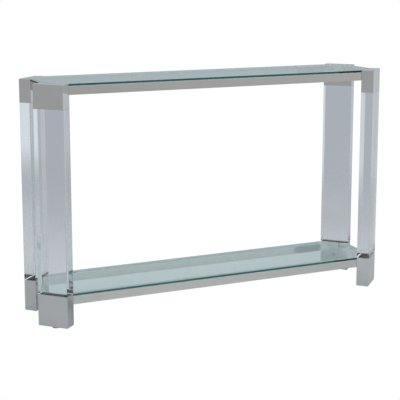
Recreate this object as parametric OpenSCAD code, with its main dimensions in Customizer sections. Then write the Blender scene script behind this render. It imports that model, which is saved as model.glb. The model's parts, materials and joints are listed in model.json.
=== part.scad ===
// Console table. Four clear acrylic legs, turned 45 degrees at the corners, stand between
// polished steel blocks. Two frames of rectangular tube join the blocks and carry a glass
// top and a glass shelf. Each foot block stands on a levelling glide.
// The origin is on the floor at the centre of the table. +X runs along it, +Z is up.

/* [Table] */
// Overall length, corner to corner of the blocks
table_l = 1230; // [900:1:1600]
// Overall depth, corner to corner of the blocks
table_d = 308; // [270:1:500]
// Overall height from the floor to the top glass
table_h = 762; // [600:1:950]

/* [Corner posts] */
// Width of a post's broad face
post_w = 102; // [90:1:120]
// Thickness of a post
post_t = 42; // [36:1:50]
// Radius of a post's upright edges
post_edge_r = 1.2; // [0.5:0.1:2]
// Height of a top block
top_block_h = 75; // [65:1:100]
// Height of a foot block
foot_block_h = 100; // [90:1:130]
// Wall thickness of the steel blocks
block_wall = 3; // [2.5:0.5:4]
// Thickness of the plates that close the blocks
plate_t = 3; // [2:0.5:5]
// Play between a leg's tenon and the block's walls, each side
tenon_play = 0.2; // [0.1:0.05:0.4]
// Length of the tenon in the top block
top_tenon_l = 55; // [45:1:60]
// Length of the tenon in the foot block
foot_tenon_l = 70; // [60:1:75]

/* [Rails] */
// Height of a rail
rail_h = 27; // [20:1:32]
// Width of a rail, seen from above
rail_w = 25; // [20:1:30]
// Wall thickness of the rail tube
rail_wall = 1.5; // [1:0.5:3]

/* [Glass] */
// Thickness of each glass panel
glass_t = 6; // [5:1:10]
// Gap between a panel's clipped corner and the block beside it
glass_gap = 0.5; // [0.3:0.1:1.5]
// Thickness of the bumper pads under the glass
bumper_t = 1; // [0.5:0.5:2]
// Diameter of a bumper pad
bumper_d = 10; // [6:1:14]
// Distance of the outer bumpers from the table's middle
bumper_x = 440; // [200:5:490]

/* [Fixing screws] */
// Thread diameter
screw_d = 6; // [5:1:6]
// Diameter of the domed head
screw_head_d = 10.5; // [9:0.5:12]
// Height of the head, with its flange
screw_head_h = 3.3; // [2.4:0.1:4]
// Diameter of the flange under the head
screw_flange_d = 13.6; // [13:0.2:16]
// Thickness of the flange
screw_flange_t = 0.8; // [0.6:0.1:1]
// Width of the hexagon socket, across its flats
screw_key = 4; // [3:0.5:5]
// Length of the shank under the head
screw_l = 16; // [12:1:18]
// Outer diameter of the threaded insert in the tenon
insert_d = 9; // [8:0.5:10]
// Length of the threaded insert
insert_l = 12; // [10:1:15]

/* [Levelling glides] */
// Height of the foot block above the floor
foot_gap = 7; // [6:1:12]
// Pad diameter
pad_d = 25; // [20:1:32]
// Pad height
pad_h = 6.5; // [5:0.5:6.5]
// Thread diameter of the stem
stem_d = 8; // [8:1:10]
// Length of the stem
stem_l = 26; // [24:1:27]
// Height of the ball socket's floor inside the pad
stem_seat = 2.5; // [2:0.5:3]
// Outer diameter of the threaded bush
bush_d = 14; // [13:1:18]
// Length of the threaded bush
bush_l = 24; // [20:1:26]
// Running clearance between stem and bush, and stem and pad, each side
run_clear = 0.05; // [0.02:0.01:0.1]

/* [Hidden] */
$fn = 48;
root_2 = sqrt(2);
// how far a turned post's round corner reaches from its centre, along X and along Y
post_reach = (post_w + post_t) / (2 * root_2) - post_edge_r * (root_2 - 1);
// distance from the post's centre to its two inner corners, on their short axis
inner_reach = (post_w - post_t) / (2 * root_2);
post_x = table_l / 2 - post_reach;
post_y = table_d / 2 - post_reach;
// outer edges of the frames and of the glass: through the posts' inner corners
frame_x = post_x + inner_reach;
frame_y = post_y + inner_reach;
// how far a clipped corner cuts back along X and along Y
clip = post_w / root_2;
foot_top_z = foot_gap + foot_block_h;
block_z = table_h - top_block_h;
leg_l = block_z - foot_top_z;
cavity_w = post_w - 2 * block_wall;
cavity_t = post_t - 2 * block_wall;
tenon_w = cavity_w - 2 * tenon_play;
tenon_t = cavity_t - 2 * tenon_play;
foot_screw_z = foot_gap + foot_block_h / 2;
top_screw_z = table_h - top_block_h / 2;
// an insert lies flush with the tenon's face
insert_face = tenon_t / 2;
// holes that a screw passes through are a little wider than it
screw_bore_d = screw_d + 0.4;
// radius of the dome on a screw's head, and depth of its hexagon socket
screw_dome_r = screw_head_d * 0.62;
screw_socket = screw_head_h * 0.6;
cut = 1; // overshoot of a cutting shape past the face that it cuts
pad_rim = 1; // chamfer round a pad's foot
bumper_inset = rail_w / 2; // the bumpers stand on the middle of the rails
// undersides of the two glass panels, and how far below one the underside of its rails is
top_glass_z = table_h - glass_t;
shelf_glass_z = foot_top_z - glass_t;
rail_drop = bumper_t + rail_h;

// name, sign of X, sign of Y, turn about Z that brings local +Y to the table's middle
CORNERS = [
    ["front_left", -1, -1, -45],
    ["front_right", 1, -1, 45],
    ["back_right", 1, 1, 135],
    ["back_left", -1, 1, 225],
];
SIDES = ["front", "back", "left", "right"];
CORNER_PARTS = ["leg", "top_block", "top_cap", "foot_block", "foot_base", "glide_bush",
    "glide_stem", "glide_pad"];
SHARED_PARTS = ["top_glass", "shelf_glass", "top_bumpers", "shelf_bumpers",
    "top_block_screws", "foot_block_screws", "leg_inserts"];

STEEL = [0.62, 0.63, 0.63];
RAIL_STEEL = [0.64, 0.63, 0.62];
ACRYLIC = [0.78, 0.83, 0.87, 0.45];
GLASS = [0.62, 0.75, 0.74, 0.45];
CLEAR_PAD = [0.9, 0.92, 0.93, 0.6];
ZINC = [0.55, 0.56, 0.58];
BRASS = [0.78, 0.64, 0.36];
NYLON = [0.76, 0.77, 0.78];

// Puts its children in one corner's own frame: local X along the post's width, local +Y
// towards the middle of the table.
module at_corner(c) {
    translate([c[1] * post_x, c[2] * post_y, 0]) rotate([0, 0, c[3]]) children();
}

// A rectangle with round corners.
module round_rect(w, t, r) {
    square([w - 2 * r, t], center = true);
    square([w, t - 2 * r], center = true);
    for (x = [-1, 1], y = [-1, 1])
        translate([x * (w / 2 - r), y * (t / 2 - r)]) circle(r);
}

// A cylinder along local Y, from y0 to y1, at height z.
module bar_y(d, y0, y1, z) {
    translate([0, y0, z]) rotate([-90, 0, 0]) cylinder(d = d, h = y1 - y0);
}

// Clear bar with a reduced tenon at each end, bored for the threaded inserts.
module leg() {
    color(ACRYLIC) difference() {
        union() {
            translate([0, 0, foot_top_z]) linear_extrude(leg_l)
                round_rect(post_w, post_t, post_edge_r);
            translate([0, 0, foot_top_z - foot_tenon_l])
                linear_extrude(leg_l + foot_tenon_l + top_tenon_l)
                    square([tenon_w, tenon_t], center = true);
        }
        for (z = [foot_screw_z, top_screw_z]) {
            bar_y(insert_d, insert_face - insert_l, insert_face + cut, z);
            bar_y(screw_bore_d, insert_face - screw_l, insert_face, z);
        }
    }
}

// Open-ended box of polished plate, with the hole for the fixing screw in its inner face.
module block(z0, h, screw_z) {
    color(STEEL) difference() {
        translate([0, 0, z0]) linear_extrude(h) difference() {
            round_rect(post_w, post_t, post_edge_r);
            square([cavity_w, cavity_t], center = true);
        }
        bar_y(screw_bore_d, cavity_t / 2 - cut, post_t / 2 + cut, screw_z);
    }
}

// Plate that closes the top block, flush with its rim.
module top_cap() {
    color(STEEL) translate([0, 0, table_h - plate_t]) linear_extrude(plate_t)
        square([cavity_w, cavity_t], center = true);
}

// Plate that closes the foot block and holds the glide's bush.
module foot_base() {
    color(ZINC) translate([0, 0, foot_gap]) linear_extrude(plate_t) difference() {
        square([cavity_w, cavity_t], center = true);
        circle(d = bush_d);
    }
}

// Threaded bush, welded into the base plate.
module glide_bush() {
    color(ZINC) translate([0, 0, foot_gap]) linear_extrude(bush_l) difference() {
        circle(d = bush_d);
        circle(d = stem_d);
    }
}

// Threaded stem of the glide, with its lower end in the pad.
module glide_stem() {
    color(ZINC) translate([0, 0, stem_seat]) cylinder(d = stem_d - 2 * run_clear, h = stem_l);
}

// Round pad that stands on the floor, with a chamfered rim above and below.
module glide_pad() {
    color(NYLON) rotate_extrude() polygon([
        [0, 0], [pad_d / 2 - pad_rim, 0], [pad_d / 2, pad_rim], [pad_d / 2, pad_h - 2 * pad_rim],
        [pad_d / 2 - 2 * pad_rim, pad_h], [stem_d / 2, pad_h], [stem_d / 2, stem_seat],
        [0, stem_seat],
    ]);
}

// Flanged screw with a domed head and a hexagon socket, pointing in along local -Y.
module fixing_screw(z) {
    translate([0, post_t / 2, z]) rotate([-90, 0, 0]) difference() {
        union() {
            translate([0, 0, -screw_l]) cylinder(d = screw_d, h = screw_l);
            cylinder(d = screw_flange_d, h = screw_flange_t);
            intersection() {
                cylinder(d = screw_head_d, h = screw_head_h);
                translate([0, 0, screw_head_h - screw_dome_r]) sphere(screw_dome_r);
            }
        }
        translate([0, 0, screw_head_h - screw_socket])
            cylinder(d = screw_key / cos(30), h = screw_head_h, $fn = 6);
    }
}

// Threaded insert, flush with the tenon's face.
module leg_insert(z) {
    difference() {
        bar_y(insert_d, insert_face - insert_l, insert_face, z);
        bar_y(screw_d, insert_face - insert_l - cut, insert_face + cut, z);
    }
}

// Plan of a rail along X, outer face at y = 0 and body towards +y. Its ends are mitred at
// 45 degrees, to lie flat on the posts. inset is the depth of each face inside the outside
// one, and over runs the ends past the mitres.
module rail_plan(half_l, inset, over) {
    y0 = inset;
    y1 = rail_w - inset;
    polygon([
        [-half_l - y0 - over, y0], [half_l + y0 + over, y0],
        [half_l + y1 + over, y1], [-half_l - y1 - over, y1],
    ]);
}

// Rectangular tube with mitred open ends, its underside at z = 0.
module rail(half_l) {
    color(RAIL_STEEL) difference() {
        linear_extrude(rail_h) rail_plan(half_l, 0, 0);
        translate([0, 0, rail_wall]) linear_extrude(rail_h - 2 * rail_wall)
            rail_plan(half_l, rail_wall, cut);
    }
}

// The rail of one side, at height z.
module side_rail(side, z) {
    long_half = frame_x - clip;
    short_half = frame_y - clip;
    turn = side == "front" ? 0 : side == "right" ? 90 : side == "back" ? 180 : 270;
    long = side == "front" || side == "back";
    translate([0, 0, z]) rotate([0, 0, turn])
        translate([0, long ? -frame_y : -frame_x, 0]) rail(long ? long_half : short_half);
}

// Glass panel with clipped corners. The clips stand glass_gap clear of the blocks.
module glass_panel(z) {
    c = clip + glass_gap * root_2;
    x = frame_x;
    y = frame_y;
    color(GLASS) translate([0, 0, z]) linear_extrude(glass_t) polygon([
        [-x + c, -y], [x - c, -y], [x, -y + c], [x, y - c],
        [x - c, y], [-x + c, y], [-x, y - c], [-x, -y + c],
    ]);
}

// Clear pads on the rails: three along each long side and one on each end.
module bumpers(z) {
    color(CLEAR_PAD) translate([0, 0, z]) {
        for (x = [-bumper_x, 0, bumper_x], s = [-1, 1])
            translate([x, s * (frame_y - bumper_inset), 0]) cylinder(d = bumper_d, h = bumper_t);
        for (s = [-1, 1])
            translate([s * (frame_x - bumper_inset), 0, 0]) cylinder(d = bumper_d, h = bumper_t);
    }
}

for (c = CORNERS) {
    at_corner(c) leg();
    at_corner(c) block(block_z, top_block_h, top_screw_z);
    at_corner(c) top_cap();
    at_corner(c) block(foot_gap, foot_block_h, foot_screw_z);
    at_corner(c) foot_base();
    at_corner(c) glide_bush();
    at_corner(c) glide_stem();
    at_corner(c) glide_pad();
}
for (s = SIDES) {
    side_rail(s, top_glass_z - rail_drop);
    side_rail(s, shelf_glass_z - rail_drop);
}
glass_panel(top_glass_z);  // top_glass
glass_panel(shelf_glass_z);  // shelf_glass
bumpers(top_glass_z - bumper_t);  // top_bumpers
bumpers(shelf_glass_z - bumper_t);  // shelf_bumpers
color(ZINC) for (c = CORNERS) at_corner(c) fixing_screw(top_screw_z);  // top_block_screws
color(ZINC) for (c = CORNERS) at_corner(c) fixing_screw(foot_screw_z);  // foot_block_screws
color(BRASS) for (c = CORNERS, z = [foot_screw_z, top_screw_z]) at_corner(c) leg_insert(z);  // leg_inserts
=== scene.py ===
# %% [markdown]
# # A console table of acrylic, polished steel and glass
#
# Four clear acrylic legs stand turned by 45 degrees at the corners. Polished steel blocks hold their
# ends, steel tube joins the blocks into two frames, and each frame carries a glass panel with
# clipped corners. The finished table is nearly colourless, so all that the eye has to go on is edges:
# the arris of the glass, the round of a block, the seam where a leg enters its block. So this lesson
# spends its effort there, and on what the bright surfaces mirror.
#
# The engineering model comes first. It says where every piece is, and this script builds the looks
# around it.

# %% Load the frame
import json
import math

import bpy
import numpy as np
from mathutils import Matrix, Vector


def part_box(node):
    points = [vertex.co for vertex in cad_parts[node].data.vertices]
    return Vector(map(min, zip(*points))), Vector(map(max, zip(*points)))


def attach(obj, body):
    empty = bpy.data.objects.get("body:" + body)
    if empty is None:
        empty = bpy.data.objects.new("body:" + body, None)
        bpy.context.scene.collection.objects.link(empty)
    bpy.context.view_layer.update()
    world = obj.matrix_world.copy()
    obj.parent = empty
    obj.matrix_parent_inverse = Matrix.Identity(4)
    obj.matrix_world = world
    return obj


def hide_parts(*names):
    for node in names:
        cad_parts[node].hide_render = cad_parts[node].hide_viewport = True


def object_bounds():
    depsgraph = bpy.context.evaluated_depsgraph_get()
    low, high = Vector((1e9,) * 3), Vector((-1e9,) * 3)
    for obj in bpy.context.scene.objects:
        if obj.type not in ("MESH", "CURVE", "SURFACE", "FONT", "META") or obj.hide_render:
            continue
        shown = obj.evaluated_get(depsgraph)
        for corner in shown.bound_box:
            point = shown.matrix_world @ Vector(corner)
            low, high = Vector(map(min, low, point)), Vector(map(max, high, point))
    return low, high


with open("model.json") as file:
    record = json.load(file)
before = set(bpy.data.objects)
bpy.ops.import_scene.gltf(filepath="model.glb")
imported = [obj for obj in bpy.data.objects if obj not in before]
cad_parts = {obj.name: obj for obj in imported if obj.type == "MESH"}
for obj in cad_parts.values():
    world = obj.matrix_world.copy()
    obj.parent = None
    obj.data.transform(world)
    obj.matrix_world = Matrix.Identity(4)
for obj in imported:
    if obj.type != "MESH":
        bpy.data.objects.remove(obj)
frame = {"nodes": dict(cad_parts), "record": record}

cad_low, cad_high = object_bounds()
print("the table measures", [round(v * 1000, 1) for v in cad_high - cad_low], "mm")

# %% [markdown]
# ## Reading the sizes
#
# Each corner of the table is the same post, turned to face the middle. It is easiest to model the
# post once in its own axes, with X along its width and +Y towards the middle of the table, and to
# turn the points into place at the end. The same turn, backwards, lets us read the sizes of a
# finished node: we take its vertices into the corner's axes and note how far they reach.

# %% The four corners, and a ruler for nodes
MM = 0.001
CORNERS = {"front_left": (-1, -1), "front_right": (1, -1), "back_right": (1, 1), "back_left": (-1, 1)}


def corner_axes(corner):
    """The post's centre, and a 3 x 3 turn whose rows are its own X, Y and Z axes: Y points at the
    table's middle along the diagonal, Z is up, and X completes a right-handed set."""
    side_x, side_y = CORNERS[corner]
    low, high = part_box(f"leg_{corner}")
    half = math.sqrt(0.5)
    inward = (-side_x * half, -side_y * half, 0)
    across = (inward[1], -inward[0], 0)
    centre = np.array([(low.x + high.x) / 2, (low.y + high.y) / 2, 0])
    return centre, np.array([across, inward, (0, 0, 1)])


def place(points, corner):
    """Points in a corner's own axes, turned and moved to where that corner stands."""
    centre, axes = corner_axes(corner)
    return points @ axes + centre


def reach(node, corner):
    """The lowest and highest point of a node, measured in a corner's own axes."""
    mesh = frame["nodes"][node].data
    flat = np.empty(len(mesh.vertices) * 3)
    mesh.vertices.foreach_get("co", flat)
    centre, axes = corner_axes(corner)
    own = (flat.reshape(-1, 3) - centre) @ axes.T
    return own.min(0), own.max(0)


# %% Sizes that the pieces share
FIRST = "front_left"
foot_low, foot_high = reach(f"foot_block_{FIRST}", FIRST)
top_low, top_high = reach(f"top_block_{FIRST}", FIRST)
cap_low, cap_high = reach(f"top_cap_{FIRST}", FIRST)
leg_low, leg_high = reach(f"leg_{FIRST}", FIRST)
post_width, post_depth = (foot_high - foot_low)[:2]
cavity_width, cavity_depth = (cap_high - cap_low)[:2]
wall = (post_width - cavity_width) / 2
upright_round = 1.2 * MM
print("post", round(post_width / MM, 1), "x", round(post_depth / MM, 1), "mm, wall", round(wall / MM, 1))

# %% [markdown]
# ## Three ways to make a surface
#
# Every new piece here is a stack of rings. A ring is a closed outline with the same number of points
# each time, so the stack is a grid of two parameters: how far round the outline, and how far along
# the piece. An extruded panel, a turned pad and a mitred tube all fit that one idea, and the grid
# gives clean quads with no work by hand.

# %% Rings and grids
ARC_STEPS = 6


def outline(corners, inset, radius):
    """A convex polygon with round corners. Each corner moves in by inset along the normals of both
    its sides, and an arc about that inner point runs from one side's normal to the next's."""
    corners = np.asarray(corners, float)
    side = np.roll(corners, -1, 0) - corners
    side /= np.linalg.norm(side, axis=1)[:, None]
    leaving = np.stack([side[:, 1], -side[:, 0]], 1)
    arriving = np.roll(leaving, 1, 0)
    alike = (leaving * arriving).sum(1)
    arc = max(radius - inset, 0.01 * MM)
    centre = corners - (inset + arc) * (leaving + arriving) / (1 + alike)[:, None]
    start = np.arctan2(arriving[:, 1], arriving[:, 0])
    turn = np.arccos(np.clip(alike, -1, 1))
    angle = start[:, None] + turn[:, None] * np.linspace(0, 1, ARC_STEPS)
    points = centre[:, None, :] + arc * np.stack([np.cos(angle), np.sin(angle)], -1)
    return points.reshape(-1, 2)


def rectangle(width, depth):
    """The four corners of a rectangle about the origin, anticlockwise."""
    return np.array([[-1, -1], [1, -1], [1, 1], [-1, 1]]) * (width / 2, depth / 2)


def at_height(points, z):
    """Flat points lifted to one height."""
    return np.column_stack([points, np.full(len(points), z)])


def quarter_round(radius, steps=5):
    """A rounded edge as two lists, inset and drop: radius times (1 - cos) and (1 - sin), so that the
    first point lies on the side face and the last one on the end face."""
    angle = np.linspace(0, math.pi / 2, steps)
    return radius * (1 - np.cos(angle)), radius * (1 - np.sin(angle))


def loft(rings, endless=False):
    """Joins point j of ring i to its neighbours in quads. The ends get flat caps, or, if the stack is
    endless, the last ring joins the first."""
    rings = np.asarray(rings, float)
    count, size = rings.shape[:2]
    i, j = np.meshgrid(np.arange(count if endless else count - 1), np.arange(size), indexing="ij")
    above, beside = (i + 1) % count, (j + 1) % size
    quads = np.stack([i * size + j, i * size + beside, above * size + beside, above * size + j], -1)
    faces = quads.reshape(-1, 4).tolist()
    if not endless:
        first = np.arange(size)
        faces += [first[::-1].tolist(), (first + (count - 1) * size).tolist()]
    return rings.reshape(-1, 3), faces


# %% From grids to a piece
def make_piece(name, solids, material, body, replaces=(), unpolished=None):
    """One object from one or more solids: their points are stacked, and each solid's faces are
    shifted by the number of points before it. Weighted normals keep the flats flat beside rounds.
    unpolished marks, point by point, where a steel piece was left as it came from the mill."""
    points = np.concatenate([s[0] for s in solids])
    shifts = np.cumsum([0] + [len(s[0]) for s in solids])
    faces = [[v + shift for v in face] for s, shift in zip(solids, shifts) for face in s[1]]
    mesh = bpy.data.meshes.new(name)
    mesh.from_pydata(points.tolist(), [], faces)
    mesh.polygons.foreach_set("use_smooth", np.ones(len(mesh.polygons), bool))
    mesh.materials.append(material)
    if unpolished is not None:
        mesh.attributes.new("unpolished", "FLOAT", "POINT").data.foreach_set("value", unpolished)
    piece = bpy.data.objects.new(name, mesh)
    bpy.context.scene.collection.objects.link(piece)
    flats = piece.modifiers.new("flats stay flat", "WEIGHTED_NORMAL")
    flats.mode, flats.weight = "FACE_AREA", 100
    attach(piece, body)
    if replaces:
        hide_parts(*replaces)
    print(f"{name}: {len(points)} points, {len(faces)} faces")
    return piece


# %% [markdown]
# ## Colour and nodes
#
# Colours are chosen as the eye sees them, in sRGB, and the renderer works in linear light, so one
# function turns the one into the other. A second function adds a node, sets it and links it, which
# keeps each material short enough to read as a recipe.

# %% Two helpers for materials
def linear(hex_colour):
    """An sRGB hex colour as linear red, green, blue and 1: below 0.04045 a straight line, above it
    the power 2.4."""
    srgb = np.array([int(hex_colour[i:i + 2], 16) for i in (1, 3, 5)]) / 255
    value = np.where(srgb <= 0.04045, srgb / 12.92, ((srgb + 0.055) / 1.055) ** 2.4)
    return (*value.tolist(), 1.0)


def add(tree, kind, inputs=None, links=None, **settings):
    """Adds a node of one kind. settings are its own switches, inputs are values for its sockets,
    and links are sockets of other nodes that feed it."""
    node = tree.nodes.new(kind)
    for name, value in settings.items():
        setattr(node, name, value)
    for name, value in (inputs or {}).items():
        node.inputs[name].default_value = value
    for name, source in (links or {}).items():
        tree.links.new(source, node.inputs[name])
    return node


def new_material(name):
    """An empty node material and its tree."""
    material = bpy.data.materials.new(name)
    material.use_nodes = True
    material.node_tree.nodes.clear()
    return material, material.node_tree


def per_metre(size_mm):
    """A noise texture's scale for features of a real size: its scale counts features per metre."""
    return 1000 / size_mm


print("middle grey #808080 is", round(linear("#808080")[0], 3), "in linear light")


# %% [markdown]
# ## Polished stainless steel
#
# The blocks and rails are 304 stainless steel, welded, ground flush and buffed to a mirror. Such a
# mirror is never perfect. Buffing leaves the face faintly wavy over a few centimetres, so straight
# reflections wander; it leaves very fine hairlines along the buffing direction; and handling leaves
# soft cloudy patches where the gloss drops a little. The waviness is a weak bump with large features,
# the hairlines are a noise stretched along one axis, and the clouds go to the roughness.
#
# The buffing wheel never reaches the inside of a block, which stays as dull as the mill left it. A
# block's mesh marks those points with an attribute, and there the roughness goes up.

# %% Stainless steel, for the blocks and for the rails
def polished_steel(name, colour, stretch, roughness_low, roughness_high):
    """Mirror steel: stretch is how the hairlines are drawn out along X, Y and Z."""
    material, tree = new_material(name)
    place_in_piece = add(tree, "ShaderNodeTexCoord").outputs["Object"]
    clouds = add(tree, "ShaderNodeTexNoise", {"Scale": per_metre(45), "Detail": 3.0},
                 {"Vector": place_in_piece})
    drawn_out = add(tree, "ShaderNodeMapping", {"Scale": stretch}, {"Vector": place_in_piece})
    hairlines = add(tree, "ShaderNodeTexNoise", {"Scale": per_metre(1.5), "Detail": 2.0},
                    {"Vector": drawn_out.outputs["Vector"]})
    wave = add(tree, "ShaderNodeTexNoise", {"Scale": per_metre(70), "Detail": 0.0},
               {"Vector": place_in_piece})
    gloss = add(tree, "ShaderNodeMix", {"Factor": 0.35},
                {"A": clouds.outputs["Fac"], "B": hairlines.outputs["Fac"]}, data_type="FLOAT")
    roughness = add(tree, "ShaderNodeMapRange",
                    {"From Min": 0.3, "From Max": 0.7, "To Min": roughness_low,
                     "To Max": roughness_high},
                    {"Value": gloss.outputs[0]})
    inside = add(tree, "ShaderNodeAttribute", attribute_name="unpolished")
    mill_finish = add(tree, "ShaderNodeMix", {"B": 0.5},
                      {"Factor": inside.outputs["Fac"], "A": roughness.outputs["Result"]},
                      data_type="FLOAT")
    waviness = add(tree, "ShaderNodeBump", {"Strength": 0.15, "Distance": 0.12 * MM},
                   {"Height": wave.outputs["Fac"]})
    lines = add(tree, "ShaderNodeBump", {"Strength": 0.05, "Distance": 0.01 * MM},
                {"Height": hairlines.outputs["Fac"], "Normal": waviness.outputs["Normal"]})
    tone = add(tree, "ShaderNodeMix", {"A": linear(colour[0]), "B": linear(colour[1])},
               {"Factor": clouds.outputs["Fac"]}, data_type="RGBA")
    shader = add(tree, "ShaderNodeBsdfPrincipled", {"Metallic": 1.0},
                 {"Base Color": tone.outputs[2], "Roughness": mill_finish.outputs[0],
                  "Normal": lines.outputs["Normal"]})
    add(tree, "ShaderNodeOutputMaterial", None, {"Surface": shader.outputs["BSDF"]})
    return material


block_steel = polished_steel("mirror_polished_block_steel", ("#cccdcd", "#d2d3d3"),
                             (1.0, 1.0, 0.06), 0.035, 0.09)
rail_steel = polished_steel("mirror_polished_rail_steel", ("#cfcdc9", "#d5d4d1"),
                            (0.05, 1.0, 1.0), 0.06, 0.13)
print("steel finishes:", block_steel.name, "and", rail_steel.name)

# %% [markdown]
# ## Cast acrylic
#
# The legs are cast acrylic, PMMA, with its faces machined and polished. It bends light less than
# glass, with an IOR of 1.49, and across a leg it looks perfectly clear. Over a metre it takes about
# a third of the red and a fifth of the green away, and leaves a breath of blue. The absorption is a
# volume, so that it depends on how far light really travels inside, as along the edges of a leg.

# %% Acrylic for the legs
acrylic_blue = "#d8e6f4"
acrylic_density = 1.2


def share_passed(colour, density, length):
    """The shares of red, green and blue light left after a length: e to the power of minus density
    times length times one less the colour."""
    return [round(math.exp(-(1 - c) * density * length), 2) for c in linear(colour)[:3]]


def cast_acrylic():
    """Clear solid plastic with a trace of polishing haze."""
    material, tree = new_material("polished_cast_acrylic")
    place_in_piece = add(tree, "ShaderNodeTexCoord").outputs["Object"]
    drawn_out = add(tree, "ShaderNodeMapping", {"Scale": (1.0, 1.0, 0.04)}, {"Vector": place_in_piece})
    wipes = add(tree, "ShaderNodeTexNoise", {"Scale": per_metre(8), "Detail": 3.0},
                {"Vector": drawn_out.outputs["Vector"]})
    haze = add(tree, "ShaderNodeMapRange",
               {"From Min": 0.45, "From Max": 0.8, "To Min": 0.0, "To Max": 0.025},
               {"Value": wipes.outputs["Fac"]})
    shader = add(tree, "ShaderNodeBsdfPrincipled",
                 {"Base Color": linear("#fdfeff"), "IOR": 1.49, "Transmission Weight": 1.0},
                 {"Roughness": haze.outputs["Result"]})
    body = add(tree, "ShaderNodeVolumeAbsorption",
               {"Color": linear(acrylic_blue), "Density": acrylic_density})
    add(tree, "ShaderNodeOutputMaterial", None,
        {"Surface": shader.outputs["BSDF"], "Volume": body.outputs["Volume"]})
    return material


leg_acrylic = cast_acrylic()
print("a metre of acrylic passes", share_passed(acrylic_blue, acrylic_density, 1.0))

# %% [markdown]
# ## Float glass
#
# The panels are ordinary soda-lime float glass, 6 mm thick, with ground and polished edges. Iron in
# the glass takes out red light. Straight through 6 mm it costs a tenth of the red, a faint tint, but
# light that leaves by an edge has run a long way inside the panel, and comes out a dark sea green.
# With the iron as an absorbing volume, the clear face and the green edge are the same material, and
# nothing is painted on.

# %% Glass for the panels
# light dies away per metre at the density times one less this colour, so red goes first
iron_green = "#89dedd"
iron_density = 26.0


def float_glass():
    """Soda-lime glass: fire-polished faces, edges ground by a wheel that runs along them."""
    material, tree = new_material("soda_lime_float_glass")
    place_in_piece = add(tree, "ShaderNodeTexCoord").outputs["Object"]
    surface = add(tree, "ShaderNodeNewGeometry")
    facing = add(tree, "ShaderNodeSeparateXYZ", None, {"Vector": surface.outputs["Normal"]})
    upright = add(tree, "ShaderNodeMath", None, {0: facing.outputs["Z"]}, operation="ABSOLUTE")
    on_edge = add(tree, "ShaderNodeMath", {1: 0.9}, {0: upright.outputs[0]}, operation="LESS_THAN")
    drawn_out = add(tree, "ShaderNodeMapping", {"Scale": (0.1, 0.1, 1.0)}, {"Vector": place_in_piece})
    wheel = add(tree, "ShaderNodeTexNoise", {"Scale": per_metre(2), "Detail": 2.0},
                {"Vector": drawn_out.outputs["Vector"]})
    ground = add(tree, "ShaderNodeMapRange",
                 {"From Min": 0.3, "From Max": 0.7, "To Min": 0.02, "To Max": 0.06},
                 {"Value": wheel.outputs["Fac"]})
    roughness = add(tree, "ShaderNodeMath", None,
                    {0: on_edge.outputs[0], 1: ground.outputs["Result"]}, operation="MULTIPLY")
    shader = add(tree, "ShaderNodeBsdfPrincipled",
                 {"Base Color": linear("#fdfffe"), "IOR": 1.52, "Transmission Weight": 1.0},
                 {"Roughness": roughness.outputs[0]})
    iron = add(tree, "ShaderNodeVolumeAbsorption",
               {"Color": linear(iron_green), "Density": iron_density})
    add(tree, "ShaderNodeOutputMaterial", None,
        {"Surface": shader.outputs["BSDF"], "Volume": iron.outputs["Volume"]})
    return material


panel_glass = float_glass()
print("6 mm of glass passes", share_passed(iron_green, iron_density, 6 * MM))
print("100 mm of glass passes", share_passed(iron_green, iron_density, 100 * MM))

# %% [markdown]
# ## Small hardware
#
# The pads under the glass are soft clear polyurethane with a slightly frosted skin. The fixing
# screws are turned stainless steel, which is duller and darker than the buffed blocks. Stems, bushes
# and base plates are mild steel with bright zinc, whose crystals give a fine mottle. The glide pads
# are pale moulded nylon with the matt grain that a spark-eroded mould leaves, and the threaded
# inserts are free-cutting brass.

# %% Finishes for the hardware
def hardware(name, colours, grain_mm, grain_stretch, roughness, bump_mm, metallic):
    """A plain finish with a grain of a real size: two close colours, a range of roughness, and a
    bump whose depth is given in millimetres."""
    material, tree = new_material(name)
    place_in_piece = add(tree, "ShaderNodeTexCoord").outputs["Object"]
    drawn_out = add(tree, "ShaderNodeMapping", {"Scale": grain_stretch}, {"Vector": place_in_piece})
    grain = add(tree, "ShaderNodeTexNoise", {"Scale": per_metre(grain_mm), "Detail": 4.0},
                {"Vector": drawn_out.outputs["Vector"]})
    tone = add(tree, "ShaderNodeMix", {"A": linear(colours[0]), "B": linear(colours[1])},
               {"Factor": grain.outputs["Fac"]}, data_type="RGBA")
    matt = add(tree, "ShaderNodeMapRange",
               {"From Min": 0.3, "From Max": 0.7, "To Min": roughness[0], "To Max": roughness[1]},
               {"Value": grain.outputs["Fac"]})
    relief = add(tree, "ShaderNodeBump", {"Strength": 0.5, "Distance": bump_mm * MM},
                 {"Height": grain.outputs["Fac"]})
    shader = add(tree, "ShaderNodeBsdfPrincipled", {"Metallic": metallic},
                 {"Base Color": tone.outputs[2], "Roughness": matt.outputs["Result"],
                  "Normal": relief.outputs["Normal"]})
    add(tree, "ShaderNodeOutputMaterial", None, {"Surface": shader.outputs["BSDF"]})
    return material


EVEN = (1, 1, 1)
ROUND_THE_AXIS = (1, 1, 4)
turned_steel = hardware("turned_stainless_screw", ("#8d8f8f", "#a0a2a2"), 0.6, EVEN,
                        (0.25, 0.4), bump_mm=0.01, metallic=1.0)
zinc_plate = hardware("bright_zinc_plate", ("#a9adb3", "#c2c6cc"), 1.8, EVEN,
                      (0.25, 0.45), bump_mm=0.02, metallic=1.0)
glide_zinc = hardware("bright_zinc_thread", ("#b0b4ba", "#c8ccd1"), 0.9, ROUND_THE_AXIS,
                      (0.2, 0.4), bump_mm=0.01, metallic=1.0)
pale_nylon = hardware("moulded_pale_nylon", ("#bcbec0", "#c8cacb"), 0.5, EVEN,
                      (0.45, 0.6), bump_mm=0.03, metallic=0.0)
cut_brass = hardware("free_cutting_brass", ("#b08d4a", "#c9a865"), 0.5, ROUND_THE_AXIS,
                     (0.2, 0.35), bump_mm=0.01, metallic=1.0)


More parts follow.
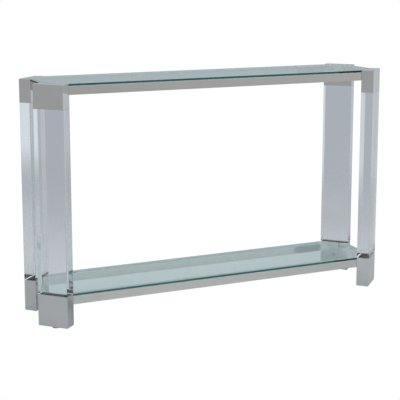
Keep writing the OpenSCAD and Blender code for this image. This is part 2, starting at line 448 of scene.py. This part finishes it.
def soft_clear_pad():
    """Clear polyurethane, frosted a little by its moulded skin."""
    material, tree = new_material("clear_polyurethane_pad")
    place_in_piece = add(tree, "ShaderNodeTexCoord").outputs["Object"]
    skin = add(tree, "ShaderNodeTexNoise", {"Scale": per_metre(0.8), "Detail": 2.0},
               {"Vector": place_in_piece})
    frost = add(tree, "ShaderNodeMapRange",
                {"From Min": 0.3, "From Max": 0.7, "To Min": 0.1, "To Max": 0.2},
                {"Value": skin.outputs["Fac"]})
    shader = add(tree, "ShaderNodeBsdfPrincipled",
                 {"Base Color": linear("#eef2f3"), "IOR": 1.5, "Transmission Weight": 0.6},
                 {"Roughness": frost.outputs["Result"]})
    add(tree, "ShaderNodeOutputMaterial", None, {"Surface": shader.outputs["BSDF"]})
    return material


clear_pad = soft_clear_pad()
hardware_finishes = (turned_steel, zinc_plate, glide_zinc, pale_nylon, cut_brass, clear_pad)
print("hardware finishes:", ", ".join(finish.name for finish in hardware_finishes))

# %% [markdown]
# ## The steel blocks
#
# A block is a short box of 3 mm plate with round edges. Its wall's section, up the outside, over the
# rim and down the inside, is carried round the rounded rectangle of the post. That closes on itself
# both ways, like the skin of a ring, so there are no caps. The rounds matter most: on mirror steel
# each one gathers the whole room into a thin line of light.

# %% Blocks
rim_round = 0.6 * MM
inner_round = 0.2 * MM


def block_solid(low, high):
    """Rings of one outline, up the outside and down the inside, with quarter rounds at the rims. The
    inset goes from nought to the wall's thickness. The second list is 1 for the rings inside."""
    in_outer, drop_outer = quarter_round(rim_round)
    in_inner, drop_inner = quarter_round(inner_round, steps=3)
    insets = np.concatenate([in_outer[::-1], in_outer, wall - in_inner[::-1], wall - in_inner])
    heights = np.concatenate([low + drop_outer[::-1], high - drop_outer,
                              high - drop_inner[::-1], low + drop_inner])
    post = rectangle(post_width, post_depth)
    rings = [at_height(outline(post, i, upright_round), z) for i, z in zip(insets, heights)]
    inside = np.arange(len(rings)) >= 2 * len(in_outer)
    return rings, inside.astype(float)


BLOCKS = {"foot_block": (foot_low[2], foot_high[2]), "top_block": (top_low[2], top_high[2])}
for kind, (low, high) in BLOCKS.items():
    rings, inside = block_solid(low, high)
    points, faces = loft(rings, endless=True)
    unpolished = np.repeat(inside, len(rings[0]))
    for corner in CORNERS:
        name = f"{kind}_{corner}"
        make_piece(f"polished_{name}", [(place(points, corner), faces)], block_steel,
                   "table", [name], unpolished)

# %% [markdown]
# ## Caps and legs
#
# The cap is a plate let into the rim of the top block, with an arris so fine that only a hairline
# shows. The leg is one bar. Inside each block it steps in by the wall's thickness, as a tenon, so
# that the clear part and the steel are flush. Light that goes down into the tenon meets only steel,
# and that is why a dark band shows through the acrylic just above each foot block.

# %% Caps
cap_arris = 0.2 * MM
cap_corner = 0.3 * MM
hair_gap = 0.05 * MM


def plate_rings(width, depth, low, high, arris, radius):
    """A plate as four outlines: inset by the arris at both faces, full in between."""
    shape = rectangle(width, depth)
    steps = ((arris, low), (0, low + arris), (0, high - arris), (arris, high))
    return [at_height(outline(shape, i, radius), z) for i, z in steps]


cap_rings = plate_rings(cavity_width - 2 * hair_gap, cavity_depth - 2 * hair_gap,
                        cap_low[2], cap_high[2], cap_arris, cap_corner)
for corner in CORNERS:
    points, faces = loft(cap_rings)
    make_piece(f"polished_top_cap_{corner}", [(place(points, corner), faces)], block_steel,
               "table", [f"top_cap_{corner}"])

# %% Legs
tenon_play = 0.2 * MM
shoulder_gap = 0.05 * MM
leg_bevel = 0.5 * MM
tenon_round = 1.0 * MM
foot_shoulder = foot_high[2] + shoulder_gap
top_shoulder = top_low[2] - shoulder_gap


def leg_rings():
    """From the foot up: the tenon with bevelled ends, the shoulder out to the full section, the
    bevels beside both shoulders, and the same again at the top."""
    full = rectangle(post_width, post_depth)
    tenon = rectangle(cavity_width - 2 * tenon_play, cavity_depth - 2 * tenon_play)
    steps = (
        (tenon, leg_bevel, leg_low[2]), (tenon, 0, leg_low[2] + leg_bevel), (tenon, 0, foot_shoulder),
        (full, leg_bevel, foot_shoulder), (full, 0, foot_shoulder + leg_bevel),
        (full, 0, top_shoulder - leg_bevel), (full, leg_bevel, top_shoulder),
        (tenon, 0, top_shoulder), (tenon, 0, leg_high[2] - leg_bevel), (tenon, leg_bevel, leg_high[2]),
    )
    return [at_height(outline(shape, inset, upright_round if shape is full else tenon_round), z)
            for shape, inset, z in steps]


for corner in CORNERS:
    points, faces = loft(leg_rings())
    make_piece(f"acrylic_leg_{corner}", [(place(points, corner), faces)], leg_acrylic,
               "table", [f"leg_{corner}"])

# %% [markdown]
# ## The rails
#
# The rails are drawn tube with round corners, cut at 45 degrees to lie flat on the blocks. A tube
# runs between two mitres, and the mitre's plane says how far each point of the section runs out: as
# far again as it lies behind the rail's outer face. The section goes out along the outside, turns in
# at the cut and comes back along the bore, so the tube is one closed skin.

# %% Rails
tube_round = 1.2 * MM
tube_wall = 1.5 * MM
bore_round = 0.2 * MM
end_bevel = 0.4 * MM


def rail_solid(half_length, width, low, high):
    """Rings in the plane across the rail: the outside at both ends, then the bore at both ends. Each
    point's X is plus or minus (half length + its distance behind the outer face)."""
    shape = rectangle(width, high - low) + (width / 2, (low + high) / 2)
    outside = outline(shape, 0, tube_round)
    cut = outline(shape, end_bevel, tube_round)
    bore = outline(shape, tube_wall, tube_wall + bore_round)
    steps = ((cut, -1, 0), (outside, -1, end_bevel), (outside, 1, end_bevel), (cut, 1, 0),
             (bore, 1, 0), (bore, -1, 0))
    return [np.column_stack([sign * (half_length + ring[:, 0] - back), ring])
            for ring, sign, back in steps]


def turn_about_z(points, degrees):
    """Points turned about the table's upright middle line."""
    cos, sin = math.cos(math.radians(degrees)), math.sin(math.radians(degrees))
    return points @ np.array([[cos, sin, 0], [-sin, cos, 0], [0, 0, 1]])


for level in ("top", "shelf"):
    for side, degrees in (("front", 0), ("right", 90), ("back", 180), ("left", 270)):
        name = f"{level}_rail_{side}"
        low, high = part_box(name)
        long_way, short_way = (0, 1) if side in ("front", "back") else (1, 0)
        width = high[short_way] - low[short_way]
        half_length = (high[long_way] - low[long_way]) / 2 - width
        outer_face = max(abs(high[short_way]), abs(low[short_way]))
        points, faces = loft(rail_solid(half_length, width, low.z, high.z), endless=True)
        points = turn_about_z(points - (0, outer_face, 0), degrees)
        make_piece(f"polished_{name}", [(points, faces)], rail_steel, "table", [name])

# %% [markdown]
# ## The glass panels
#
# A panel is an octagon: a rectangle with its corners clipped along the inner faces of the posts. Its
# edges are ground square with a fine arris above and below. The arris is what shows as two bright
# threads along the green edge, so it is modelled and not left to a bump.

# %% Glass panels
glass_arris = 0.18 * MM
glass_corner = 1.5 * MM
pad_gap = 0.02 * MM


def panel_rings(node):
    """Four outlines of the node's own octagon: its eight corners come from where its vertices reach
    furthest along each of the sides."""
    mesh = frame["nodes"][node].data
    flat = np.empty(len(mesh.vertices) * 3)
    mesh.vertices.foreach_get("co", flat)
    x, y, z = flat.reshape(-1, 3).T
    edge_x, edge_y = x.max(), y.max()
    along = x[y > edge_y - 0.01 * MM].max()
    across = y[x > edge_x - 0.01 * MM].max()
    shape = [(-along, -edge_y), (along, -edge_y), (edge_x, -across), (edge_x, across),
             (along, edge_y), (-along, edge_y), (-edge_x, across), (-edge_x, -across)]
    low, high = z.min() + pad_gap, z.max()
    steps = ((glass_arris, low), (0, low + glass_arris), (0, high - glass_arris), (glass_arris, high))
    return [at_height(outline(shape, i, glass_corner), h) for i, h in steps]


for node in ("top_glass", "shelf_glass"):
    make_piece(f"{node}_panel", [loft(panel_rings(node))], panel_glass, "table", [node])

# %% [markdown]
# ## Turned pieces
#
# Bumper pads, screws and glide pads are all turned or moulded round an axis: a profile of radius
# against height, carried round a full turn. Where a piece isn't quite round, as at a hexagon socket
# or the finger grips of a glide, the radius simply depends on the angle as well.

# %% A profile round an axis
TURN_STEPS = 96
TURN = np.linspace(0, 2 * math.pi, TURN_STEPS, endpoint=False)


def turned(profile):
    """Rings from a list of (radius, height). A radius may be a number, or one value per angle."""
    rows = [np.broadcast_to(radius, TURN.shape) for radius, _ in profile]
    heights = [np.full(TURN_STEPS, height) for _, height in profile]
    return [np.column_stack([r * np.cos(TURN), r * np.sin(TURN), z]) for r, z in zip(rows, heights)]


def hexagon(across_flats):
    """The radius of a hexagon at each angle: half the distance across flats over the cosine of the
    angle from the nearest flat's middle."""
    from_flat = (TURN + math.pi / 6) % (math.pi / 3) - math.pi / 6
    return across_flats / 2 / np.cos(from_flat)


# %% Bumper pads
bumper_radius = 5 * MM
bumper_along = 440 * MM


def bumper_solid(height):
    """A soft disc whose top edge is well rounded."""
    foot_round = 0.2 * MM
    inset, drop = quarter_round(0.45 * MM)
    profile = [(bumper_radius - foot_round, 0), (bumper_radius, foot_round)]
    profile += [(bumper_radius - i, height - d) for i, d in zip(inset, drop)]
    return loft(turned(profile))


for node in ("top_bumpers", "shelf_bumpers"):
    low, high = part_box(node)
    row_y, end_x = high.y - bumper_radius, high.x - bumper_radius
    spots = [(x, y) for x in (-bumper_along, 0, bumper_along) for y in (-row_y, row_y)]
    spots += [(-end_x, 0), (end_x, 0)]
    points, faces = bumper_solid(high.z - low.z - pad_gap)
    pads = [(points + (x, y, low.z), faces) for x, y in spots]
    make_piece(f"clear_{node}", pads, clear_pad, "table", [node])

# %% Fixing screws
flange_radius, flange_thickness = 6.8 * MM, 0.8 * MM
head_radius, head_height = 5.2 * MM, 3.3 * MM
shank_radius, shank_length = 3.0 * MM, 16 * MM
key_size, socket_depth = 4.0 * MM, 1.9 * MM
tip_bevel = 0.6 * MM
fine_bevel = 0.15 * MM
socket_lead_in = 0.3 * MM


def screw_solid():
    """Shank, flange, domed head, and a hexagon socket with a lead-in chamfer. Over the dome the
    height rises from the flange to the full head as the cosine of the way out to its edge."""
    rim = key_size / 2 * 1.3
    share = np.linspace(1, 0, 7)
    rise = head_height - flange_thickness
    profile = [(shank_radius - tip_bevel, -shank_length), (shank_radius, tip_bevel - shank_length),
               (shank_radius, 0), (flange_radius - fine_bevel, 0), (flange_radius, fine_bevel),
               (flange_radius, flange_thickness - fine_bevel),
               (flange_radius - fine_bevel, flange_thickness)]
    profile += [(rim + (head_radius - rim) * s, flange_thickness + rise * math.cos(s * math.pi / 2))
                for s in share]
    socket = hexagon(key_size)
    profile += [(socket, head_height - socket_lead_in), (socket, head_height - socket_depth)]
    return loft(turned(profile))


SCREW_HEIGHTS = {"top_block_screws": (top_low[2] + top_high[2]) / 2,
                 "foot_block_screws": (foot_low[2] + foot_high[2]) / 2}
for node, height in SCREW_HEIGHTS.items():
    points, faces = screw_solid()
    facing_in = np.column_stack([points[:, 1], points[:, 2] + post_depth / 2, points[:, 0] + height])
    screws = [(place(facing_in, corner), faces) for corner in CORNERS]
    make_piece(f"turned_{node}", screws, turned_steel, "table", [node])

# %% [markdown]
# ## Levelling glides
#
# A glide is a threaded stem that turns in its bush, with its lower end in a pad that stands still on
# the floor. The thread is a real helix: the radius rises and falls with height less the pitch times
# the turn. The ridge climbs as it runs anticlockwise, seen from above, which makes it a right-hand
# thread: turned clockwise from above, the stem goes down. Screwed right in, as it stands at rest,
# only the pad's edge shows under the block. Screwed out, 10 mm of thread comes into view.

# %% Glide stems
thread_pitch = 1.25 * MM
thread_depth = 0.68 * MM


def stem_solid(radius, low, high):
    """A grid of height and angle. The thread is a triangle wave of (height / pitch - turn), cut off
    flat at crest and root, and it fades out in the chamfer at each end."""
    rows = int((high - low) / thread_pitch * 8)
    z = np.linspace(low, high, rows)[:, None]
    phase = (z / thread_pitch - TURN[None, :] / (2 * math.pi)) % 1.0
    ridge = np.clip(1.5 * (1 - np.abs(2 * phase - 1)) - 0.25, 0, 1)
    from_end = np.minimum(z - low, high - z) / thread_depth
    thread = radius - thread_depth * (1 - ridge)
    chamfer = radius - thread_depth * np.clip(1 - from_end, 0, 1)
    r = np.minimum(thread, chamfer)
    rings = np.stack([r * np.cos(TURN), r * np.sin(TURN), np.broadcast_to(z, r.shape)], -1)
    return loft(rings)


# %% Glide pads
grip_count = 24
grip_depth = 0.6 * MM


def pad_solid(radius, height, bore_radius, seat):
    """A moulded foot: a slightly hollow sole, a wall with finger grips, a round shoulder, and the
    socket for the stem. The grips take the crests of a cosine of the angle off the radius."""
    grips = radius - grip_depth * np.clip(np.cos(grip_count * TURN), 0, 1)
    top_radius = radius - 0.2 * MM
    inset, drop = quarter_round(1.8 * MM)
    sole = [(radius * 0.5, 0.3 * MM), (radius * 0.8, 0), (radius - 0.6 * MM, 0), (radius, 0.6 * MM)]
    side = [(radius, 1.2 * MM), (grips, 1.4 * MM), (grips, height - 2.6 * MM),
            (top_radius, height - 2.3 * MM)]
    shoulder = [(top_radius - i, height - d) for i, d in zip(inset, drop)]
    socket = [(bore_radius + 0.4 * MM, height), (bore_radius, height - 0.4 * MM), (bore_radius, seat)]
    return loft(turned(sole + side + shoulder + socket))


for corner in CORNERS:
    stem_low, stem_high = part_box(f"glide_stem_{corner}")
    pad_low, pad_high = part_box(f"glide_pad_{corner}")
    centre = np.array([(pad_low.x + pad_high.x) / 2, (pad_low.y + pad_high.y) / 2, 0])
    radius = (stem_high.x - stem_low.x) / 2
    points, faces = stem_solid(radius, stem_low.z, stem_high.z)
    make_piece(f"threaded_glide_stem_{corner}", [(points + centre, faces)], glide_zinc,
               f"glide_stem_{corner}", [f"glide_stem_{corner}"])
    points, faces = pad_solid((pad_high.x - pad_low.x) / 2, pad_high.z, radius + 0.1 * MM, stem_low.z)
    make_piece(f"moulded_glide_pad_{corner}", [(points + centre, faces)], pale_nylon,
               f"glide_pad_{corner}", [f"glide_pad_{corner}"])

# %% [markdown]
# ## Pieces that keep their engineering shape
#
# The base plates, the bushes and the threaded inserts are plain turned or sawn pieces. They sit
# inside the blocks and already have their true shape, so they only take a finish.

# %% Finishes on the carried-over nodes
KEPT = {f"{kind}_{corner}": zinc_plate for kind in ("foot_base", "glide_bush") for corner in CORNERS}
KEPT["leg_inserts"] = cut_brass
for node, finish in KEPT.items():
    mesh = frame["nodes"][node].data
    mesh.materials.clear()
    mesh.materials.append(finish)
print("finished", len(KEPT), "carried-over nodes")

# %% [markdown]
# ## Stage and light
#
# A clear table is drawn by what it bends and mirrors. The room here is a plain studio: pale
# blue-grey at the back, neutral at the left and front, lighter at the right. The camera itself sees
# only clean white behind the table, so the light path decides: a ray straight from the camera gets
# white, and any ray that a surface has bent or mirrored gets the room.
#
# The floor works the same way. Round the table it carries a painted pool of light. Its paint is
# palest there, where the low blocks and the shelf mirror it, and darker further out, as a lamp's pool
# would be, so the floor under the shelf is lighter than its lamps and shade would leave it. Beyond that
# it fades out into the room, because the legs would show a hard edge as a step. It lies as low as the
# glides reach when they are screwed right out, so that no pad ever sinks into it.
#
# The lamps are soft and hang high, and they are hidden from mirror rays: a lamp's square seen in a
# polished block would be the brightest thing on the table.

# %% The room
world = bpy.data.worlds.new("studio")
bpy.context.scene.world = world
world.use_nodes = True
room = world.node_tree
room.nodes.clear()
direction = add(room, "ShaderNodeTexCoord").outputs["Generated"]


def towards(vector, low, high):
    """How much a direction points along a vector, from 0 at low to 1 at high, eased at both ends."""
    along = add(room, "ShaderNodeVectorMath", {1: vector}, {0: direction}, operation="DOT_PRODUCT")
    return add(room, "ShaderNodeMapRange", {"From Min": low, "From Max": high},
               {"Value": along.outputs["Value"]}, interpolation_type="SMOOTHSTEP").outputs["Result"]


def blended(factor, first, second):
    """Two colours, mixed by a factor. Either may be a value or a socket."""
    node = add(room, "ShaderNodeMix", None, {"Factor": factor}, data_type="RGBA")
    for socket, colour in ((node.inputs[6], first), (node.inputs[7], second)):
        if isinstance(colour, tuple):
            socket.default_value = colour
        else:
            room.links.new(colour, socket)
    return node.outputs[2]


# amounts of light, so they are linear already
LEFT = (0.49, 0.49, 0.495, 1)
RIGHT = (0.70, 0.74, 0.76, 1)
BACK_LOW = (0.395, 0.42, 0.46, 1)
BACK_HIGH = (0.52, 0.59, 0.63, 1)
CEILING = (0.64, 0.66, 0.68, 1)
walls = blended(towards((0.91, 0.41, 0), -0.4, 0.95), LEFT, RIGHT)
back_wall = blended(towards((0, 0, 1), -0.05, 0.2), BACK_LOW, BACK_HIGH)
walls = blended(towards((0.1, 0.99, 0), 0.45, 0.95), walls, back_wall)
walls = blended(towards((0, 0, 1), 0.2, 0.9), walls, CEILING)
from_camera = add(room, "ShaderNodeLightPath").outputs["Is Camera Ray"]
seen = blended(from_camera, walls, (1.0, 1.0, 1.0, 1.0))
backdrop = add(room, "ShaderNodeBackground", {"Strength": 1.0}, {"Color": seen})
add(room, "ShaderNodeOutputWorld", None, {"Surface": backdrop.outputs["Background"]})
print("the room gives", LEFT[1], "of white from the left and", RIGHT[1], "from the right")

# %% The floor
floor_half = 3.0
floor_gap = 0.05 * MM
# painted pool of light: the floor's paint is palest within the first radius of the table's middle and
# darkens out to the second
light_pool_radius = 0.4
light_pool_edge_radius = 1.4
fade_radius = 1.6
glide_reach = min(joint["range_m"][0] for joint in frame["record"]["behaviour"]["joints"]
                  if joint["type"] == "slide")
print("a glide reaches", round(-glide_reach / MM, 1), "mm further down than at rest")
floor_mesh = bpy.data.meshes.new("studio_floor")
floor_mesh.from_pydata([(-floor_half, -floor_half, 0), (floor_half, -floor_half, 0),
                        (floor_half, floor_half, 0), (-floor_half, floor_half, 0)], [], [(0, 1, 2, 3)])
floor = bpy.data.objects.new("studio_floor", floor_mesh)
bpy.context.scene.collection.objects.link(floor)
floor.location.z = cad_low.z + glide_reach - floor_gap

floor_finish, tree = new_material("studio_floor_painted_light_pool")
on_floor = add(tree, "ShaderNodeTexCoord").outputs["Object"]
from_middle = add(tree, "ShaderNodeVectorMath", None, {"Vector": on_floor}, operation="LENGTH")
# painted pool of light: the floor's colour runs from pale at the table to darker further out, standing
# in for a lamp's pool and for light under the shelf
out_of_light_pool = add(tree, "ShaderNodeMapRange", {"From Min": light_pool_radius, "From Max": light_pool_edge_radius},
              {"Value": from_middle.outputs["Value"]})
painted_light_pool = add(tree, "ShaderNodeMix", {"A": linear("#dadcdd"), "B": linear("#c2c4c8")},
            {"Factor": out_of_light_pool.outputs["Result"]}, data_type="RGBA")
paint = add(tree, "ShaderNodeBsdfDiffuse", None, {"Color": painted_light_pool.outputs[2]})
fade = add(tree, "ShaderNodeMapRange", {"From Min": fade_radius, "From Max": floor_half},
           {"Value": from_middle.outputs["Value"]}, interpolation_type="SMOOTHSTEP")
nothing = add(tree, "ShaderNodeBsdfTransparent")
swept = add(tree, "ShaderNodeMixShader", None,
            {0: fade.outputs["Result"], 1: paint.outputs["BSDF"], 2: nothing.outputs["BSDF"]})
blank = add(tree, "ShaderNodeEmission", {"Color": (1, 1, 1, 1), "Strength": 1.0})
to_camera = add(tree, "ShaderNodeLightPath").outputs["Is Camera Ray"]
whitened = add(tree, "ShaderNodeMixShader", None,
               {0: to_camera, 1: swept.outputs["Shader"], 2: blank.outputs["Emission"]})
add(tree, "ShaderNodeOutputMaterial", None, {"Surface": whitened.outputs["Shader"]})
floor_mesh.materials.append(floor_finish)


# %% Soft lamps
table_middle = np.array([0, 0, 0.4])


def softbox(name, place_at, size, power):
    """A square white lamp that faces the table's middle. Its tilt and turn are the angles of the way
    from the lamp to there, above the floor and round from the Y axis."""
    lamp = bpy.data.lights.new(name, "AREA")
    lamp.size, lamp.energy = size, power
    holder = bpy.data.objects.new(name, lamp)
    bpy.context.scene.collection.objects.link(holder)
    holder.location = place_at
    holder.visible_glossy = False
    aim = table_middle - place_at
    tilt = math.atan2(aim[2], math.hypot(aim[0], aim[1]))
    holder.rotation_euler = (math.pi / 2 + tilt, 0, -math.atan2(aim[0], aim[1]))
    print(f"{name}: {size} m wide, {power} W")


softbox("overhead_softbox", (0.4, -0.9, 2.6), size=3.2, power=26)
softbox("left_softbox", (-2.6, -1.6, 2.4), size=2.0, power=20)
softbox("right_softbox", (2.8, 0.6, 2.4), size=2.0, power=4)

# %% [markdown]
# ## Camera
#
# The camera stands in front of the table and to its left, a little above the top, with a long lens,
# so that the legs stay nearly parallel. A level camera would keep the uprights exactly parallel, but
# only with a large downward shift of the lens. Here the camera tilts down and the lens shifts a
# little, which leaves the uprights slightly converging and keeps the table in the picture.

# %% Camera
camera_place = (-1.436, -3.188, 1.112)
camera_turn = math.radians(23.81)
camera_tilt = math.radians(9.53)
lens_mm = 95.6
sensor_mm = 36
lens_shift = -0.14
camera_data = bpy.data.cameras.new("camera")
camera_data.sensor_width = sensor_mm
camera_data.lens = lens_mm
camera_data.shift_y = lens_shift
camera = bpy.data.objects.new("camera", camera_data)
bpy.context.scene.collection.objects.link(camera)
camera.location = camera_place
camera.rotation_euler = (math.pi / 2 - camera_tilt, 0, -camera_turn)
bpy.context.scene.camera = camera
camera_distance = float(np.linalg.norm(table_middle - np.array(camera_place)))
field_of_view = math.degrees(2 * math.atan(sensor_mm / 2 / lens_mm))
print(f"camera {camera_distance:.2f} m from the table, {field_of_view:.1f} degrees across")

# %% Light paths and tone
settings = bpy.context.scene.cycles
settings.max_bounces = 32
settings.transmission_bounces = 32
settings.glossy_bounces = 16
settings.transparent_max_bounces = 16
bpy.context.scene.view_settings.view_transform = "Standard"
print("light may pass", settings.transmission_bounces, "clear surfaces")
